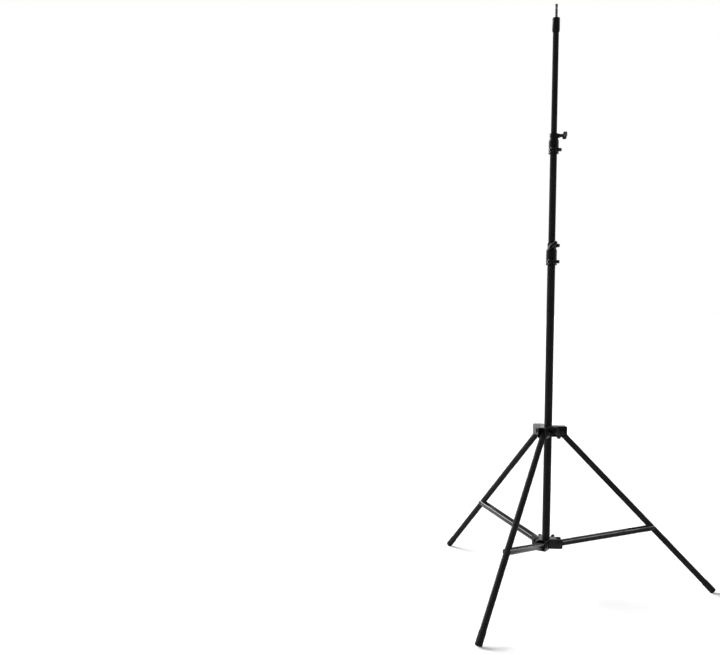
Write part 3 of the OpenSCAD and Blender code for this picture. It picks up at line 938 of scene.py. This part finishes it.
def nut_faces(node, place):
    """Lowest and highest point along a bolt line of the solid on leg 1."""
    back = place.inverted()
    near = 12 * MM
    points = [back @ vertex.co for vertex in frame["nodes"][node].data.vertices]
    heights = [point.z for point in points if math.hypot(point.x, point.y) < near]
    return min(heights), max(heights)


def hexagon_size(size):
    """Width across the flats and radius at the corners of a bolt's or nut's hexagon."""
    flats = 1.7 * size
    return flats, flats / 2 / math.cos(math.pi / 6)


def add_bolt(shape, place, size, head, grip, tail):
    """A hexagon bolt from the top of its head to its threaded tail."""
    flats, wide = hexagon_size(size)
    chamfer = 0.12 * size
    turned(shape, place, [(0, head), (0.93 * flats / 2, head), (wide, head + chamfer),
                          (wide, grip - chamfer / 3), (0.96 * flats / 2, grip), (0, grip)],
           segments=48, trim=hexagon(flats))
    pitch = details().thread
    radius = size / 2
    start, stop, rows = tail - 8 * MM, tail - 0.6 * MM, 64
    thread = [(radius, start + (stop - start) * k / rows) for k in range(rows + 1)]
    profile = [(0, grip), (radius, grip), (radius, start - 0.4 * MM), *thread, (0.8 * radius, tail),
               (0, tail)]
    groove = threaded(pitch, 0.54 * pitch)

    def trim(value, angle, height):
        return groove(value, angle, height) if start < height < tail - 0.5 * MM else value
    turned(shape, place, profile, segments=32, trim=trim)


def add_lock_nut(shape, place, size, face, outer):
    """A hexagon nut with a round locking collar."""
    flats, wide = hexagon_size(size)
    bore = size / 2 + CLEARANCE
    rim, collar = 0.95 * flats / 2, 0.86 * flats / 2
    chamfer = 0.1 * size
    shoulder, crown = face + 0.72 * (outer - face), outer + 0.8 * MM
    profile = filleted([
        (bore, face, 0), (rim, face, 0), (wide, face + chamfer, 0), (wide, shoulder - chamfer, 0),
        (rim, shoulder, 0), (collar, shoulder, 0), (collar, crown, 0.7 * MM), (bore, crown, 0)])
    turned(shape, place, profile, segments=48, trim=hexagon(flats), loop=True)


def add_socket_head(shape, place, radius, face, end, bore):
    """A round head with a hexagon socket in its end and, for a nut, a bore at its face."""
    socket = 0.42 * radius
    key = hexagon(2 * socket)
    corner, floor = 1.15 * socket, end - 2.6 * MM
    profile = filleted([
        (bore, face, 0), (radius, face, 0.3 * MM), (radius, end, 0.9 * MM), (corner, end, 0),
        (corner, floor, 0), (0, floor, 0)])

    def trim(value, angle, height):
        return key(value, angle, height) if value < 1.2 * socket and height > floor - TINY else value
    if bore:
        web = floor - 1.5 * MM
        profile = [Vector((0, web)), Vector((bore, web)), *profile]
    turned(shape, place, profile, segments=48, trim=trim)


class STAND_OT_head(Operator):
    """Turn the head cap and its stud"""

    bl_idname = "stand.head"
    bl_label = "Head"

    def execute(self, context):
        low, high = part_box("head_cap")
        radius = high.x
        skirt, groove_radius = radius - 0.4 * MM, radius - 0.7 * MM
        bore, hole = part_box("upper_tube")[1].x + CLEARANCE, 4.05 * MM
        roof, groove = high.z - 6 * MM, high.z - 9 * MM
        soft = 0.2 * MM
        profile = filleted([
            (bore, low.z, 0.4 * MM), (skirt, low.z, 1 * MM), (skirt, low.z + 4 * MM, 0),
            (radius, low.z + 5 * MM, 0), (radius, groove, soft), (groove_radius, groove + 0.7 * MM, soft),
            (groove_radius, groove + 1.7 * MM, soft), (radius, groove + 2.4 * MM, soft),
            (radius, high.z, 1.6 * MM), (hole, high.z, 0.3 * MM), (hole, roof, 0), (bore, roof, 0)])
        shape = bmesh.new()
        turned(shape, Matrix(), profile, segments=64, loop=True)
        mesh = crisp_mesh(shape, "head_cap", 40)
        place_piece("head_cap_moulding", mesh, "upper_section", "moulded_black", grained_plastic(),
                    "head_cap")
        dress("stud", plated_steel())
        return {"FINISHED"}


def mirrored(tree, path):
    """One where a ray is seen in gloss or through glass."""
    return combined(tree, "MAXIMUM", path.outputs["Is Glossy Ray"], path.outputs["Is Transmission Ray"])


class STAND_OT_stage(Operator):
    """Set the floor, the lamps and the camera"""

    bl_idname = "stand.stage"
    bl_label = "Stage"

    def execute(self, context):
        stage = context.scene.stand_stage
        floor = self.lay_floor(stage)
        self.light_room(stage)
        for name, side, height, width in LAMPS:
            lamp = self.hang_lamp(name, getattr(stage, name), side, height, width)
            self.link_floor(lamp, floor, "INCLUDE" if name == "sweep" else "EXCLUDE")
        self.stand_panel(stage)
        self.place_camera(stage)
        return {"FINISHED"}

    def lay_floor(self, stage):
        """A wide pale floor that ends before the stand, keeps its shadow and looks white."""
        shape = bmesh.new()
        spot = Matrix.Translation((0, FLOOR_HALF - stage.apron, 0))
        bmesh.ops.create_grid(shape, x_segments=8, y_segments=8, size=FLOOR_HALF, matrix=spot)
        floor = scratch(closed_mesh(shape, "floor"))
        floor.name = "floor"
        material = bpy.data.materials.new("floor_paper")
        material.use_nodes = True
        floor.data.materials.append(material)
        tree = material.node_tree
        shader = tree.nodes["Principled BSDF"]
        shader.inputs["Roughness"].default_value = 0.9
        shader.inputs["Specular IOR Level"].default_value = 0.0
        shader.inputs["Emission Color"].default_value = (1, 1, 1, 1)
        path = tree.nodes.new("ShaderNodeLightPath")
        share = wire(tree, "ShaderNodeMapRange", Value=path.outputs["Is Camera Ray"], To_Min=stage.bounce,
                     To_Max=stage.floor)
        tree.links.new(share.outputs["Result"], shader.inputs["Base Color"])
        seen = combined(tree, "MAXIMUM", path.outputs["Is Camera Ray"], mirrored(tree, path))
        glow = combined(tree, "MULTIPLY", seen, stage.glow)
        tree.links.new(glow, shader.inputs["Emission Strength"])
        return floor

    def link_floor(self, lamp, floor, state):
        """Let a lamp light the floor alone, or all but the floor."""
        receivers = bpy.data.collections.new(f"{lamp.name}_receivers")
        receivers.objects.link(floor)
        receivers.collection_objects[0].light_linking.link_state = state
        lamp.light_linking.receiver_collection = receivers

    def light_room(self, stage):
        """Even light from all round.

        The camera sees it as plain white, and the gloss sees it dim towards the front.
        """
        world = bpy.data.worlds.new("studio")
        bpy.context.scene.world = world
        world.use_nodes = True
        tree = world.node_tree
        path = tree.nodes.new("ShaderNodeLightPath")
        spot = tree.nodes.new("ShaderNodeTexCoord").outputs["Generated"]
        depth = wire(tree, "ShaderNodeSeparateXYZ", Vector=spot).outputs["Y"]
        front, back = ROOM_DEPTH
        room = wire(tree, "ShaderNodeMapRange", Value=depth, From_Min=front, From_Max=back,
                    To_Min=stage.front, To_Max=1.0).outputs["Result"]
        gloss = wire(tree, "ShaderNodeMix", Factor=mirrored(tree, path), A=stage.sky, B=room)
        level = wire(tree, "ShaderNodeMix", Factor=path.outputs["Is Camera Ray"],
                     A=gloss.outputs["Result"], B=1.0)
        sky = tree.nodes["Background"]
        sky.inputs["Color"].default_value = (1, 1, 1, 1)
        tree.links.new(level.outputs["Result"], sky.inputs["Strength"])

    def hang_lamp(self, name, strength, side, height, width):
        """A far soft lamp, by its side round the stand, its height and how wide it looks, in degrees."""
        lamp = bpy.data.lights.new(name, "SUN")
        lamp.energy = strength
        lamp.angle = math.radians(width)
        holder = bpy.data.objects.new(name, lamp)
        bpy.context.scene.collection.objects.link(holder)
        holder.matrix_world = (
            Matrix.Rotation(math.radians(side), 4, "Z") @ Matrix.Rotation(math.radians(90 - height), 4, "Y")
            @ Matrix.Translation((0, 0, LAMP_AWAY)))
        return holder

    def stand_panel(self, stage):
        """A long low lamp on the left that the cheeks of the hub and bracket mirror."""
        lamp = bpy.data.lights.new("side", "AREA")
        lamp.shape = "RECTANGLE"
        lamp.size, lamp.size_y = PANEL_SIZE
        lamp.energy = stage.side
        holder = bpy.data.objects.new("side", lamp)
        bpy.context.scene.collection.objects.link(holder)
        holder.visible_camera = False
        holder.matrix_world = (
            Matrix.Rotation(math.radians(PANEL_SIDE), 4, "Z") @ Matrix.Translation(PANEL_SPOT)
            @ Matrix.Rotation(SQUARE, 4, "Y") @ Matrix.Rotation(SQUARE, 4, "Z"))

    def place_camera(self, stage):
        """The camera at the photograph's view."""
        data = bpy.data.cameras.new("camera")
        data.sensor_width = SENSOR
        data.lens = stage.lens
        data.clip_end = VIEW_END
        camera = bpy.data.objects.new("camera", data)
        bpy.context.scene.collection.objects.link(camera)
        camera.matrix_world = (
            Matrix.Translation(stage.camera) @ Matrix.Rotation(stage.heading, 4, "Z")
            @ Matrix.Rotation(SQUARE - stage.pitch, 4, "X") @ Matrix.Rotation(stage.roll, 4, "Z"))
        bpy.context.scene.camera = camera
        bpy.context.scene.view_settings.view_transform = "Standard"


OPERATORS = (
    STAND_OT_tubes, STAND_OT_inner, STAND_OT_collars, STAND_OT_castings, STAND_OT_knobs,
    STAND_OT_braces, STAND_OT_feet, STAND_OT_fasteners, STAND_OT_head, STAND_OT_stage)


class STAND_PT_panel(Panel):
    """Light stand's pieces, in the order in which they are made"""

    bl_label = "Light Stand"
    bl_idname = "STAND_PT_panel"
    bl_space_type = "VIEW_3D"
    bl_region_type = "UI"
    bl_category = "Light Stand"

    def draw(self, context):
        for group in GROUPS:
            settings = getattr(context.scene, GROUPS[group])
            for name in group.__annotations__:
                self.layout.prop(settings, name)
        for operator in OPERATORS:
            self.layout.operator(operator.bl_idname)


GROUPS = {StandFinishes: "stand_finishes", StandDetails: "stand_details", StandStage: "stand_stage"}
CLASSES = (*GROUPS, *OPERATORS, STAND_PT_panel)


def register():
    """Make the settings, operators and panel known to Blender."""
    for item in CLASSES:
        bpy.utils.register_class(item)
    for group, name in GROUPS.items():
        setattr(bpy.types.Scene, name, PointerProperty(type=group))


def unregister():
    """Take them away again."""
    for name in GROUPS.values():
        delattr(bpy.types.Scene, name)
    for item in reversed(CLASSES):
        bpy.utils.unregister_class(item)


def main():
    """Register the add-on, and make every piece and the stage."""
    register()
    for operator in OPERATORS:
        group, name = operator.bl_idname.split(".")
        getattr(getattr(bpy.ops, group), name)()


if __name__ == "__main__":
    main()
